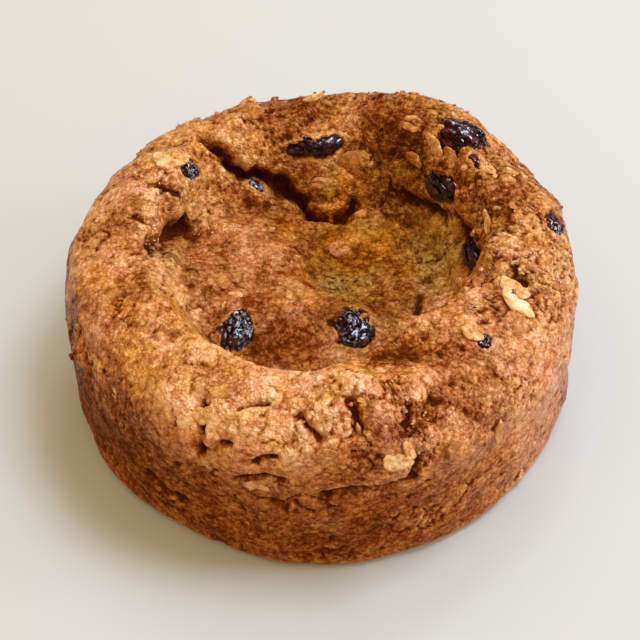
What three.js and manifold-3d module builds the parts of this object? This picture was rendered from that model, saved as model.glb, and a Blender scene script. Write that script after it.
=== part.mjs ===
// An oatmeal raisin cookie: a thick round of dough that was baked in a ring. It has a steep wall, an uneven
// rim and a sunken middle with cracks across it, oat flakes that stand out of the skin, and raisins that sit
// in pockets of the dough. Sizes are in millimetres and +Z is up. The origin is on the table, under the
// middle of the cookie's box, and the lowest part of the wall is towards -Y.
import * as THREE from "three";
import { mergeVertices } from "three/addons/utils/BufferGeometryUtils.js";
import Module from "manifold-3d";

const wasm = await Module();
wasm.setup();

// ---------------------------------------------------------------- driving sizes

const FLOOR_HEIGHT = 23; // the sunken middle above the table
const SHOULDER_DROP = 12; // from the rim's crest down to the straight wall
const SHOULDER_POWER = 2.6; // 2 is an elliptic shoulder, and more is a squarer one
const WALL_BOW = 1.5; // how late the wall turns in towards its foot
const BASE_ROUND = 2.2; // radius of the edge between the wall and the base
const GAP = 0.3; // between a raisin and the dough round it
const CENTRE = new THREE.Vector2(-0.1, -0.7); // the middle of the cookie, before it is moved to the origin

// The skin is measured along a line from the axis out to the base, over these zones.
const ZONES = { floor: 26, slope: 15, shoulder: 21, wall: 21, edge: 3 };
const FLOOR_END = ZONES.floor;
const SLOPE_END = FLOOR_END + ZONES.slope;
const SHOULDER_END = SLOPE_END + ZONES.shoulder;
const WALL_END = SHOULDER_END + ZONES.wall;
const SKIN = WALL_END + ZONES.edge;

// The net of points on the skin: each ring has six more points than the one inside it, up to COLUMNS.
const RINGS = 40;
const COLUMNS = 114;

// The rim at every 30 degrees, anticlockwise from +X: its height, the radius of its crest, the width of the
// slope down to the middle, the outer radius, and the share of that radius which is left at the foot.
const RIM = [
  { height: 37.0, crest: 31.5, slope: 9, radius: 46.0, foot: 0.985 },
  { height: 38.5, crest: 33.0, slope: 10, radius: 45.6, foot: 0.985 },
  { height: 40.0, crest: 33.5, slope: 9, radius: 45.2, foot: 0.985 },
  { height: 36.4, crest: 37.0, slope: 14, radius: 44.6, foot: 0.985 },
  { height: 34.6, crest: 37.0, slope: 14, radius: 45.0, foot: 0.985 },
  { height: 35.8, crest: 34.0, slope: 8, radius: 45.6, foot: 0.985 },
  { height: 36.0, crest: 31.5, slope: 8, radius: 45.8, foot: 0.985 },
  { height: 35.8, crest: 31.0, slope: 9, radius: 45.4, foot: 0.97 },
  { height: 35.6, crest: 31.0, slope: 7, radius: 44.6, foot: 0.97 },
  { height: 35.4, crest: 31.0, slope: 8, radius: 44.8, foot: 0.985 },
  { height: 34.0, crest: 24.5, slope: 7, radius: 44.6, foot: 0.975 },
  { height: 34.6, crest: 27.0, slope: 8, radius: 45.4, foot: 0.965 },
];

// Places on the skin are [angle in degrees, distance along the skin from the axis].
// Swellings, and hollows where the height is below 0: a path, the reach to each side and the height.
const SWELLINGS = [
  // the sunken middle
  { path: [[142, 23.5], [151, 16], [185, 16]], reach: 12, height: 4.2 }, // high left side
  { path: [[175, 30.5], [187, 25.5]], reach: 7, height: 4.0 }, // shelf at the left wall
  { path: [[242, 8.5], [294, 11]], reach: 7, height: 2.6 }, // mound at the front
  { path: [[67, 6.5], [58, 10.5]], reach: 8, height: -1.2 },
  { path: [[22, 27.5]], reach: 7, height: -1.4 },
  // the broken slab behind the long crack, and the loose chunk at its left
  { path: [[111, 35], [99, 32], [84, 30]], reach: 7, height: 2.6 },
  { path: [[110, 37.5], [86, 33.5]], reach: 8, height: 1.4 },
  { path: [[146, 41.5], [135, 38.5]], reach: 6, height: 1.4 },
  { path: [[161, 41], [149, 34.5]], reach: 5, height: 1.8 },
  { path: [[50, 36], [37, 33.5]], reach: 4, height: 1.2 },
  // crumbs along the back crest
  { path: [[110, 42.5]], reach: 2.2, height: 1.6 },
  { path: [[92, 41]], reach: 2.2, height: 1.8 },
  { path: [[86, 40]], reach: 4, height: -1.0 },
  { path: [[51, 52]], reach: 6, height: 0.6 },
  // the ridge and the valley inside the front right rim, and the rugged lump in front of them
  { path: [[323, 19], [315, 41], [324, 43]], reach: 3.5, height: 1.6 },
  { path: [[287, 41.5], [298, 42.5]], reach: 4, height: -1.2 },
  { path: [[284, 46.5], [285, 52.5]], reach: 8, height: 3.4 },
  { path: [[298, 48], [298, 50]], reach: 5, height: 2.6 },
  { path: [[278, 44]], reach: 4, height: 2.0 },
  { path: [[284, 48.5], [284, 52], [286, 56.5]], reach: 2.6, height: 1.6 },
  { path: [[254, 52.5], [262, 50]], reach: 8, height: 1.5 },
  { path: [[234, 56.5]], reach: 10, height: 0.9 },
  { path: [[268, 46.5]], reach: 4.5, height: 1.0 },
  { path: [[273, 52.5]], reach: 3.5, height: 1.0 },
  // knobs on the right
  { path: [[355, 42]], reach: 4, height: 1.5 },
  { path: [[355, 46.5]], reach: 3, height: 1.1 },
  { path: [[4, 44.5]], reach: 3, height: 1.2 },
  { path: [[12, 43.5]], reach: 3, height: 0.9 },
  { path: [[23, 42.5]], reach: 3.5, height: 0.9 },
  { path: [[346, 49.5]], reach: 3.5, height: 1.0 },
  { path: [[18, 56]], reach: 2.6, height: 1.3 },
  { path: [[314, 55]], reach: 6, height: 0.7 },
  { path: [[301, 60]], reach: 4, height: 1.1 },
  // the sides that face away from the lowest part of the wall
  { path: [[60, 58], [78, 60]], reach: 7, height: 1.2 },
  { path: [[128, 55], [140, 60]], reach: 6, height: 1.4 },
  { path: [[166, 62]], reach: 5, height: 1.0 },
];

// Cracks and pits: a path, the half width and the depth.
const CRACKS = [
  { path: [[127, 40.5], [123, 34], [114, 31], [98, 28], [86, 22.5], [75, 25.5]], half: 1.1, depth: 4.5 },
  { path: [[178, 37.5], [172, 33.5], [153, 29.5]], half: 1.7, depth: 3.6 },
  { path: [[157, 41], [150, 34.5]], half: 0.8, depth: 2.2 },
  { path: [[169, 42], [170, 40.5]], half: 0.6, depth: 1.2 },
  { path: [[55, 30.5], [46, 31], [34, 32]], half: 0.8, depth: 1.8 },
  { path: [[20, 33], [16, 32], [5, 33]], half: 1.9, depth: 4.2 },
  { path: [[46, 39.5], [41, 39]], half: 1.6, depth: 2.8 },
  { path: [[1, 21], [350, 21]], half: 0.7, depth: 1.4 },
  { path: [[347, 39], [349, 40.5]], half: 1.4, depth: 1.8 },
  { path: [[350, 43], [344, 45]], half: 0.8, depth: 1.5 },
  { path: [[241, 50.5], [242, 54], [244, 58.5]], half: 0.7, depth: 1.8 },
  { path: [[244, 56.5], [251, 54]], half: 0.6, depth: 1.5 },
  { path: [[250, 48.5], [256, 46]], half: 0.6, depth: 1.4 },
  { path: [[265, 47], [267, 50], [269, 52], [272, 51]], half: 0.9, depth: 1.8 },
  { path: [[271, 64], [282, 62.5], [290, 61.5], [291, 57.5]], half: 1.0, depth: 2.2 },
  { path: [[290, 49.5], [290, 56.5]], half: 1.0, depth: 2.0 },
  { path: [[299, 49], [295, 51]], half: 1.4, depth: 2.4 },
  { path: [[278, 46.5], [278, 50.5]], half: 0.9, depth: 1.8 },
  { path: [[257, 57.5], [260, 56.5]], half: 0.9, depth: 1.8 },
  { path: [[252, 62], [262, 61.5]], half: 0.7, depth: 1.3 },
  { path: [[228, 72.5], [237, 75]], half: 0.8, depth: 1.4 },
  { path: [[70, 66], [80, 64], [88, 67]], half: 0.9, depth: 1.8 },
  { path: [[118, 60], [124, 66]], half: 0.8, depth: 1.6 },
  { path: [[156, 58], [162, 70]], half: 0.8, depth: 1.4 },
];

// Uneven dough: noise of a size and height, then knobs, which are rounded lumps packed side by side.
const UNEVEN = [
  { size: 11, height: 0.7, seed: 1 },
  { size: 6, height: 0.45, seed: 2 },
];
const KNOBS = { size: 3.4, height: 0.9, middle: 0.55, seed: 3 };
const KNOB_FADE = { from: 50, length: 16, left: 0.35 }; // the knobs flatten to this share on the wall
const CRACK_WANDER = [
  { size: 3.5, height: 0.9, seed: 11 },
  { size: 1.6, height: 0.35, seed: 14 },
];
const CRACK_POWER = 1.6; // how steep a crack's sides are
const CRACK_SPREAD = 0.5; // added to a crack's half width, because the net is no finer than this
const SWELLING_FADE = 6; // swellings fade out over this much of the wall above the base's edge
const UNEVEN_FADE = 4; // and so does the unevenness above the base

// Raisins: a place, [length, width, thickness], the turn in degrees, and how deep the middle lies.
const RAISINS = {
  raisin_floor_left: { at: [217, 22], size: [8.2, 6.8, 5.2], turn: 128, sunk: 1.0 },
  raisin_floor_front: { at: [300, 16.5], size: [9.6, 7.8, 5.4], turn: 34, sunk: 1.3 },
  raisin_back_long: { at: [92, 33.5], size: [11.5, 4.4, 4.6], turn: 4, sunk: 0.9 },
  raisin_rim_back: { at: [44, 43.5], size: [10.4, 7.0, 5.6], turn: 16, sunk: 1.2 },
  raisin_rim_slope: { at: [39, 34], size: [9.0, 6.0, 4.8], turn: 16, sunk: 1.0 },
  raisin_rim_under: { at: [34, 41], size: [6.2, 4.0, 4.2], turn: 170, sunk: 1.2 },
  raisin_right_hole: { at: [13, 32.5], size: [8.6, 5.4, 4.8], turn: 176, sunk: 2.0 },
  raisin_rim_right: { at: [322, 46.5], size: [6.0, 4.4, 4.0], turn: 14, sunk: 1.3 },
  raisin_edge_right: { at: [9, 50.5], size: [7.0, 5.0, 4.4], turn: 0, sunk: 1.2 },
  raisin_chunk_left: { at: [139, 36.5], size: [6.6, 5.0, 4.2], turn: 112, sunk: 1.2 },
  raisin_crack_side: { at: [117, 29.5], size: [5.6, 4.2, 4.0], turn: 142, sunk: 1.2 },
  raisin_wall_left: { at: [204, 60.5], size: [6.4, 4.6, 4.2], turn: 126, sunk: 1.3 },
  raisin_wall_back_a: { at: [66, 64], size: [8.0, 5.8, 4.8], turn: 25, sunk: 1.4 },
  raisin_wall_back_b: { at: [109, 70], size: [6.6, 5.0, 4.4], turn: 80, sunk: 1.5 },
  raisin_wall_back_c: { at: [148, 66], size: [7.4, 5.2, 4.6], turn: 150, sunk: 1.4 },
};
const LONG_RAISIN = 8; // a raisin as long as this has its sphere split twice, and a shorter one once
const RAISIN_WRINKLE = { size: 0.9, height: 0.16, seed: 31 }; // on a sphere of radius 1

// Oat flakes: a place, [length, width], the turn and the tilt in degrees, and how proud the middle stands.
const FLAKES = [
  { at: [143, 40.5], size: [6.5, 4.6], turn: 122, tilt: 8, proud: 0.5 },
  { at: [145, 30.5], size: [4.6, 3.6], turn: 6, tilt: 20, proud: 0.5 },
  { at: [48, 37.5], size: [6.2, 3.2], turn: 152, tilt: 15, proud: 0.6 },
  { at: [54, 35], size: [4.0, 2.6], turn: 158, tilt: 10, proud: 0.5 },
  { at: [339, 46], size: [7.2, 3.4], turn: 72, tilt: 25, proud: 0.7 },
  { at: [12, 37.5], size: [5.6, 2.2], turn: 174, tilt: 20, proud: 0.6 },
  { at: [75, 14.5], size: [4.6, 4.0], turn: 44, tilt: 6, proud: 0.4 },
  { at: [285, 56], size: [5.2, 3.2], turn: 176, tilt: 25, proud: 0.7 },
  { at: [288, 55], size: [4.2, 3.0], turn: 126, tilt: 20, proud: 0.6 },
  { at: [256, 64], size: [4.8, 4.2], turn: 16, tilt: 5, proud: 0.4 },
  { at: [111, 40], size: [4.2, 3.0], turn: 170, tilt: 30, proud: 0.8 },
  { at: [92, 40.5], size: [4.4, 2.6], turn: 34, tilt: 35, proud: 0.9 },
  { at: [312, 60.5], size: [7.0, 2.6], turn: 92, tilt: 12, proud: 0.5 },
  { at: [300, 59], size: [5.0, 3.6], turn: 138, tilt: 12, proud: 0.5 },
  { at: [333, 48.5], size: [4.6, 3.2], turn: 4, tilt: 12, proud: 0.5 },
  { at: [186, 20], size: [4.0, 3.2], turn: 10, tilt: 8, proud: 0.4 },
  { at: [78, 31.5], size: [5.4, 4.6], turn: 168, tilt: 6, proud: 0.4 },
  { at: [30, 42], size: [4.6, 3.0], turn: 0, tilt: 15, proud: 0.5 },
  { at: [88, 28.5], size: [5.6, 3.0], turn: 162, tilt: 12, proud: 0.5 },
  { at: [325, 82], size: [3.4, 2.4], turn: 118, tilt: 20, proud: 0.6 },
  { at: [140, 50], size: [4.4, 3.2], turn: 86, tilt: 15, proud: 0.5 },
  { at: [210, 48.5], size: [4.2, 3.2], turn: 114, tilt: 8, proud: 0.35 },
  { at: [244, 46.5], size: [4.6, 3.4], turn: 8, tilt: 8, proud: 0.35 },
  { at: [321, 44.5], size: [4.2, 2.8], turn: 104, tilt: 14, proud: 0.5 },
  { at: [272, 55.5], size: [4.4, 3.4], turn: 36, tilt: 8, proud: 0.4 },
];
const FLAKE_THICKNESS = 1.4;
const FLAKE_SIDES = 7;
const FLAKE_LAYERS = 3;
// More flakes lie over the back and the sides, drawn at random from one seed. Width is a share of the length.
const SCATTERED_FLAKES = {
  count: 10,
  seed: 5,
  from: [20, 46],
  to: [200, 78],
  length: [4, 6.5],
  width: [0.55, 0.8],
  tilt: 12,
  proud: 0.45,
};
const SEAT_STEP = 1.5; // the skin's slope under a small piece is measured over this much to each side

// ---------------------------------------------------------------- small tools

const degrees = THREE.MathUtils.degToRad;
const clamp = THREE.MathUtils.clamp;
const ease = (t) => t * t * (3 - 2 * t);

// A share of 0 to 1 of the way through a zone of the skin.
function shareOf(along, start, length) {
  return clamp((along - start) / length, 0, 1);
}

// A whole number from 0 to 2^32 for a cell of space, the same for the same cell and seed.
function cellHash(x, y, z, seed) {
  let h = Math.imul(x, 374761393) + Math.imul(y, 668265263);
  h = (h + Math.imul(z, 1440662683) + Math.imul(seed, 1274126177)) >>> 0;
  h = Math.imul(h ^ (h >>> 13), 1274126177) >>> 0;
  h = Math.imul(h ^ (h >>> 16), 2246822519) >>> 0;
  return (h ^ (h >>> 15)) >>> 0;
}

// The three parts of a hash, each from 0 to 1.
function hashParts(h) {
  return [(h & 1023) / 1023, ((h >>> 10) & 1023) / 1023, ((h >>> 20) & 1023) / 1023];
}

// Smooth noise of about -1 to 1 whose hills are `size` apart.
function noise(point, size, seed) {
  const q = point.clone().divideScalar(size);
  const cell = q.clone().floor();
  const f = q.clone().sub(cell);
  const fade = (t) => t * t * t * (t * (t * 6 - 15) + 10);
  const weight = (corner, t) => (corner ? fade(t) : 1 - fade(t));
  let sum = 0;
  for (const dx of [0, 1])
    for (const dy of [0, 1])
      for (const dz of [0, 1]) {
        const [gx, gy, gz] = hashParts(cellHash(cell.x + dx, cell.y + dy, cell.z + dz, seed));
        const slope =
          (2 * gx - 1) * (f.x - dx) + (2 * gy - 1) * (f.y - dy) + (2 * gz - 1) * (f.z - dz);
        sum += slope * weight(dx, f.x) * weight(dy, f.y) * weight(dz, f.z);
      }
  return sum * 1.6; // brings the range to about -1 to 1
}

// The distance to the nearest of one point scattered in each cell, in units of `size`.
function cellDistance(point, size, seed) {
  const q = point.clone().divideScalar(size);
  const cell = q.clone().floor();
  let nearest = Infinity;
  for (const dx of [-1, 0, 1])
    for (const dy of [-1, 0, 1])
      for (const dz of [-1, 0, 1]) {
        const corner = new THREE.Vector3(cell.x + dx, cell.y + dy, cell.z + dz);
        const place = hashParts(cellHash(corner.x, corner.y, corner.z, seed));
        nearest = Math.min(nearest, corner.add(new THREE.Vector3(...place)).distanceTo(q));
      }
  return nearest;
}

// A vector of three noises, for bending a path.
function noiseVector(point, { size, height, seed }) {
  const parts = [0, 1, 2].map((k) => noise(point, size, seed + k));
  return new THREE.Vector3(...parts).multiplyScalar(height);
}

// The distance from a point to a path of points.
function distanceToPath(point, path) {
  if (path.length === 1) return point.distanceTo(path[0]);
  const nearest = new THREE.Vector3();
  const line = new THREE.Line3();
  let best = Infinity;
  for (let i = 1; i < path.length; i++) {
    line.set(path[i - 1], path[i]).closestPointToPoint(point, true, nearest);
    best = Math.min(best, point.distanceTo(nearest));
  }
  return best;
}

// ---------------------------------------------------------------- the cookie's skin

// The rim's values at an angle in radians, on a smooth closed curve through its stations.
function rimAt(angle) {
  const count = RIM.length;
  const turns = THREE.MathUtils.euclideanModulo(angle / (2 * Math.PI), 1) * count;
  const i = Math.floor(turns);
  const t = turns - i;
  const station = (k) => RIM[(i + k + count) % count];
  const value = (key) => {
    const [a, b, c, d] = [-1, 0, 1, 2].map((k) => station(k)[key]);
    const bend = 2 * a - 5 * b + 4 * c - d;
    return 0.5 * (2 * b + (c - a) * t + bend * t * t + (3 * b - a - 3 * c + d) * t ** 3);
  };
  return Object.fromEntries(Object.keys(RIM[0]).map((key) => [key, value(key)]));
}

// The skin's section at an angle: the radius and the height at a distance along the skin.
function section(angle, along) {
  const rim = rimAt(angle);
  const floorRadius = rim.crest - rim.slope;
  const wallTop = rim.height - SHOULDER_DROP;
  const footRadius = rim.radius * rim.foot;
  if (along <= FLOOR_END) return [(floorRadius * along) / FLOOR_END, FLOOR_HEIGHT];
  if (along <= SLOPE_END) {
    const t = shareOf(along, FLOOR_END, ZONES.slope);
    return [floorRadius + rim.slope * t, FLOOR_HEIGHT + (rim.height - FLOOR_HEIGHT) * ease(t)];
  }
  if (along <= SHOULDER_END) {
    const turn = (shareOf(along, SLOPE_END, ZONES.shoulder) * Math.PI) / 2;
    const out = Math.sin(turn) ** (2 / SHOULDER_POWER);
    const up = Math.cos(turn) ** (2 / SHOULDER_POWER);
    return [rim.crest + (rim.radius - rim.crest) * out, wallTop + SHOULDER_DROP * up];
  }
  if (along <= WALL_END) {
    const t = shareOf(along, SHOULDER_END, ZONES.wall);
    const radius = rim.radius + (footRadius - rim.radius) * t ** WALL_BOW;
    return [radius, wallTop + (BASE_ROUND - wallTop) * t];
  }
  const turn = (shareOf(along, WALL_END, ZONES.edge) * Math.PI) / 2;
  return [footRadius - BASE_ROUND * (1 - Math.cos(turn)), BASE_ROUND * (1 - Math.sin(turn))];
}

// The point on the smooth skin.
function smoothSkin(angle, along) {
  const [radius, height] = section(angle, along);
  return new THREE.Vector3(radius * Math.cos(angle), radius * Math.sin(angle), height);
}

// The way the dough swells: up in the middle and outwards on the wall.
function swellDirection(angle, along) {
  const turn = (shareOf(along, SLOPE_END, ZONES.shoulder) * Math.PI) / 2;
  const out = Math.sin(turn);
  return new THREE.Vector3(out * Math.cos(angle), out * Math.sin(angle), Math.cos(turn));
}

const onSmoothSkin = ([turn, along]) => smoothSkin(degrees(turn), along);
const swellings = SWELLINGS.map((s) => ({ ...s, path: s.path.map(onSmoothSkin) }));

// The point on the skin with its swellings and hollows.
function swollenSkin(angle, along) {
  const point = smoothSkin(angle, along);
  let height = 0;
  for (const s of swellings)
    height += s.height * Math.exp(-((distanceToPath(point, s.path) / s.reach) ** 2));
  height *= clamp((WALL_END - along) / SWELLING_FADE, 0, 1);
  return point.addScaledVector(swellDirection(angle, along), height);
}

const onSwollenSkin = ([turn, along]) => swollenSkin(degrees(turn), along);
const cracks = CRACKS.map((c) => ({ ...c, path: c.path.map(onSwollenSkin) }));

// How far the finished skin lies above the swollen one: its unevenness and knobs, less its cracks.
function reliefAt(point, along) {
  const wander = new THREE.Vector3();
  for (const layer of CRACK_WANDER) wander.add(noiseVector(point, layer));
  const bent = point.clone().add(wander);
  let height = 0;
  for (const layer of UNEVEN) height += layer.height * noise(point, layer.size, layer.seed);
  const knob = KNOBS.middle - cellDistance(point.clone().lerp(bent, 0.5), KNOBS.size, KNOBS.seed);
  const flattened = (1 - KNOB_FADE.left) * ease(shareOf(along, KNOB_FADE.from, KNOB_FADE.length));
  height += KNOBS.height * knob * (1 - flattened);
  height *= clamp((SKIN - along) / UNEVEN_FADE, 0, 1);
  for (const c of cracks) {
    const across = distanceToPath(bent, c.path) / (c.half + CRACK_SPREAD);
    height -= c.depth * Math.exp(-(across ** CRACK_POWER));
  }
  return height;
}

// The faces between two rings of points, each given by its first index, its count and its turn in steps.
// A ring of one point has no edge along it, so it takes no face of its own.
function stitch(inner, outer, faces) {
  const index = (ring, k) => ring.first + (k % ring.count);
  const angle = (ring, k) => (k + ring.turn) / ring.count;
  const innerSteps = inner.count === 1 ? 0 : inner.count;
  let i = 0;
  let o = 0;
  while (i < innerSteps || o < outer.count) {
    const outerFirst = i === innerSteps || (o < outer.count && angle(outer, o + 1) <= angle(inner, i + 1));
    if (outerFirst) {
      faces.push(index(inner, i), index(outer, o), index(outer, o + 1));
      o += 1;
    } else {
      faces.push(index(inner, i), index(outer, o), index(inner, i + 1));
      i += 1;
    }
  }
}

// The net of the skin from the axis to the base, and the flat base: places and faces.
function skinNet() {
  const places = [{ angle: 0, along: 0 }];
  const faces = [];
  let inner = { first: 0, count: 1, turn: 0 };
  for (let k = 1; k <= RINGS; k++) {
    const outer = { first: places.length, count: Math.min(6 * k, COLUMNS), turn: (k % 2) / 2 };
    for (let j = 0; j < outer.count; j++)
      places.push({ angle: ((j + outer.turn) * 2 * Math.PI) / outer.count, along: (k * SKIN) / RINGS });
    stitch(inner, outer, faces);
    inner = outer;
  }
  const baseMiddle = places.length;
  for (let j = 0; j < inner.count; j++)
    faces.push(baseMiddle, inner.first + ((j + 1) % inner.count), inner.first + j);
  return { places, faces, baseMiddle };
}

function geometryOf(points, faces) {
  const geometry = new THREE.BufferGeometry().setFromPoints(points);
  geometry.setIndex(faces);
  return geometry;
}

// The outward direction at each point of a closed net.
function outwardDirections(points, faces) {
  const geometry = geometryOf(points, faces);
  geometry.computeVertexNormals();
  const normal = geometry.getAttribute("normal");
  return points.map((_, i) => new THREE.Vector3().fromBufferAttribute(normal, i));
}

// ---------------------------------------------------------------- solids

// A manifold-3d solid from a closed geometry.
function solidFrom(geometry) {
  const bare = geometry.clone();
  bare.deleteAttribute("normal");
  bare.deleteAttribute("uv");
  const merged = mergeVertices(bare, 1e-4);
  const mesh = new wasm.Mesh({
    numProp: 3,
    vertProperties: new Float32Array(merged.getAttribute("position").array),
    triVerts: new Uint32Array(merged.index.array),
  });
  return new wasm.Manifold(mesh);
}

function geometryFrom(solid) {
  const { vertProperties, triVerts } = solid.getMesh();
  const geometry = new THREE.BufferGeometry();
  geometry.setAttribute("position", new THREE.BufferAttribute(vertProperties, 3));
  geometry.setIndex(new THREE.BufferAttribute(triVerts, 1));
  geometry.computeVertexNormals();
  return geometry;
}

// The largest of a solid's separate bodies, so that a loose scrap is dropped.
function largestBody(solid) {
  return solid.decompose().reduce((a, b) => (a.volume() > b.volume() ? a : b));
}

// The bare dough, before flakes and pockets.
function doughSolid() {
  const { places, faces, baseMiddle } = skinNet();
  const points = places.map(({ angle, along }) => swollenSkin(angle, along));
  points.push(new THREE.Vector3());
  const out = outwardDirections(points, faces);
  const finished = points.map((point, i) => {
    if (i === baseMiddle) return point;
    const moved = point.clone().addScaledVector(out[i], reliefAt(point, places[i].along));
    if (places[i].along >= SKIN) moved.z = 0;
    moved.z = Math.max(moved.z, 0);
    return moved;
  });
  return solidFrom(geometryOf(finished, faces));
}

// Where a small piece sits: a frame whose Z points out of the skin and whose X is turned along the rim.
function seatAt([turn, along]) {
  const angle = degrees(turn);
  const aside = SEAT_STEP / Math.max(along, SEAT_STEP);
  const round = swollenSkin(angle + aside, along).sub(swollenSkin(angle - aside, along));
  const outwards = swollenSkin(angle, along + SEAT_STEP).sub(swollenSkin(angle, along - SEAT_STEP));
  const normal = round.clone().cross(outwards).negate().normalize();
  const x = round.addScaledVector(normal, -round.dot(normal)).normalize();
  const y = normal.clone().cross(x);
  return { point: swollenSkin(angle, along), basis: new THREE.Matrix4().makeBasis(x, y, normal) };
}

// A seated piece's matrix: turned round the skin's normal, tilted, and moved along the normal.
function seatMatrix({ at, turn, tilt = 0, lift }) {
  const { point, basis } = seatAt(at);
  const up = new THREE.Vector3(0, 0, lift).applyMatrix4(basis);
  const lean = new THREE.Matrix4().makeRotationX(degrees(tilt));
  return new THREE.Matrix4()
    .makeTranslation(point.add(up))
    .multiply(basis)
    .multiply(new THREE.Matrix4().makeRotationZ(degrees(turn)))
    .multiply(lean);
}

// A raisin round the origin, wrinkled, and grown by a margin all over.
function raisinGeometry({ size, at }, margin) {
  const geometry = new THREE.IcosahedronGeometry(1, size[0] < LONG_RAISIN ? 1 : 2);
  const position = geometry.getAttribute("position");
  const halves = new THREE.Vector3(...size).divideScalar(2).addScalar(margin);
  const offset = new THREE.Vector3(at[0], at[1], 0); // so that no two raisins are alike
  for (let i = 0; i < position.count; i++) {
    const point = new THREE.Vector3().fromBufferAttribute(position, i);
    const { size: period, height, seed } = RAISIN_WRINKLE;
    const wrinkle = 1 + height * noise(point.clone().add(offset), period, seed);
    point.multiplyScalar(wrinkle).multiply(halves);
    position.setXYZ(i, point.x, point.y, point.z);
  }
  return geometry;
}

function raisinSolid(raisin, margin) {
  const matrix = seatMatrix({ ...raisin, lift: -raisin.sunk });
  return solidFrom(raisinGeometry(raisin, margin).applyMatrix4(matrix));
}

// An oat flake: a flat oval disc.
function flakeSolid(flake) {
  const [length, width] = flake.size;
  const geometry = new THREE.SphereGeometry(0.5, FLAKE_SIDES, FLAKE_LAYERS);
  geometry.rotateX(Math.PI / 2).scale(length, width, FLAKE_THICKNESS);
  return solidFrom(geometry.applyMatrix4(seatMatrix({ ...flake, lift: flake.proud - FLAKE_THICKNESS / 2 })));
}

// Flakes over the back and the sides.
function scatteredFlakes({ count, seed, from, to, length, width, tilt, proud }) {
  const between = ([low, high], share) => low + (high - low) * share;
  return Array.from({ length: count }, (_, k) => {
    const [a, b, c] = hashParts(cellHash(k, 0, 0, seed));
    const [d, e] = hashParts(cellHash(k, 1, 0, seed));
    const long = between(length, c);
    return {
      at: [between([from[0], to[0]], (k + a) / count), between([from[1], to[1]], b)],
      size: [long, long * between(width, d)],
      turn: 180 * e,
      tilt,
      proud,
    };
  });
}

// The dough with its flakes joined on and a pocket cut for each raisin.
function cookieSolid() {
  const flakes = [...FLAKES, ...scatteredFlakes(SCATTERED_FLAKES)].map(flakeSolid);
  const pockets = Object.values(RAISINS).map((raisin) => raisinSolid(raisin, GAP));
  const whole = flakes.reduce((solid, flake) => solid.add(flake), doughSolid());
  return largestBody(pockets.reduce((solid, pocket) => solid.subtract(pocket), whole));
}

// ---------------------------------------------------------------- meshes

function doughMaterial() {
  return new THREE.MeshStandardMaterial({ color: 0xb0703a, roughness: 0.8, metalness: 0 });
}

function raisinMaterial() {
  return new THREE.MeshStandardMaterial({ color: 0x2a1720, roughness: 0.35, metalness: 0 });
}

function namedMesh(name, solid, material) {
  const mesh = new THREE.Mesh(geometryFrom(solid), material);
  mesh.name = name;
  return mesh;
}

const cookie = new THREE.Group();
cookie.name = "oatmeal_raisin_cookie";
cookie.add(namedMesh("dough", cookieSolid(), doughMaterial()));
for (const [name, raisin] of Object.entries(RAISINS))
  cookie.add(namedMesh(name, raisinSolid(raisin, 0), raisinMaterial()));
cookie.position.set(-CENTRE.x, -CENTRE.y, 0);

export default cookie;
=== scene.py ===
"""The looks of an oatmeal raisin cookie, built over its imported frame.

The dough's skin follows the same form as the solid, on a net fine enough for its cracks, crumbs and half
sunk oat flakes. Raisins grow out of their own solids. The form is measured in millimetres, as the solid's
is, and MM turns one of them into the frame's metres.
"""

import math

import bmesh
import bpy
import numpy as np
from mathutils import Matrix, Vector


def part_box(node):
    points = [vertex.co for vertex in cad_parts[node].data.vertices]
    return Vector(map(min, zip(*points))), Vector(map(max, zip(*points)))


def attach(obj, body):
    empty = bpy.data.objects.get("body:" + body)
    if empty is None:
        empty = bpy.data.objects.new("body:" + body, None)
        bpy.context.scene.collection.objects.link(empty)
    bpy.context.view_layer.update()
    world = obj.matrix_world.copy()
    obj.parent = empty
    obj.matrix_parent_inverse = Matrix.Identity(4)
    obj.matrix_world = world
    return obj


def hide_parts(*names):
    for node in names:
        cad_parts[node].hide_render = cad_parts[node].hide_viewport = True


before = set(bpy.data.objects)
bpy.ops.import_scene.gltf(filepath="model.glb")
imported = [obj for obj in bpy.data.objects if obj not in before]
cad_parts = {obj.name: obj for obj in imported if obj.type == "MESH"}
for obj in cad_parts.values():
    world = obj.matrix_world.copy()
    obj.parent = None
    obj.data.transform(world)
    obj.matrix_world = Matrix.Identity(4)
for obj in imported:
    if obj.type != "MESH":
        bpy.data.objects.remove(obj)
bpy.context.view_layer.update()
dough_low, dough_high = (np.array(corner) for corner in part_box("dough"))

# ---------- the form's sizes, in its millimetres

FORM_WIDTH = 92.42  # of the whole dough along X
FORM_CENTRE = np.array([-0.1, -0.7, 0.0])  # of the dough's box, at the table
MM = (dough_high[0] - dough_low[0]) / FORM_WIDTH

FLOOR_HEIGHT = 23.0
SHOULDER_DROP = 12.0
SHOULDER_POWER = 2.6
WALL_BOW = 1.5
BASE_ROUND = 2.2

ZONES = {"floor": 26.0, "slope": 15.0, "shoulder": 21.0, "wall": 21.0, "edge": 3.0}
FLOOR_END, SLOPE_END, SHOULDER_END, WALL_END, SKIN = np.cumsum(list(ZONES.values()))
BASE = 43.0  # the flat base, from its edge in to the axis

RINGS = 208
COLUMNS = 636
BASE_RINGS = 6

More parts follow.
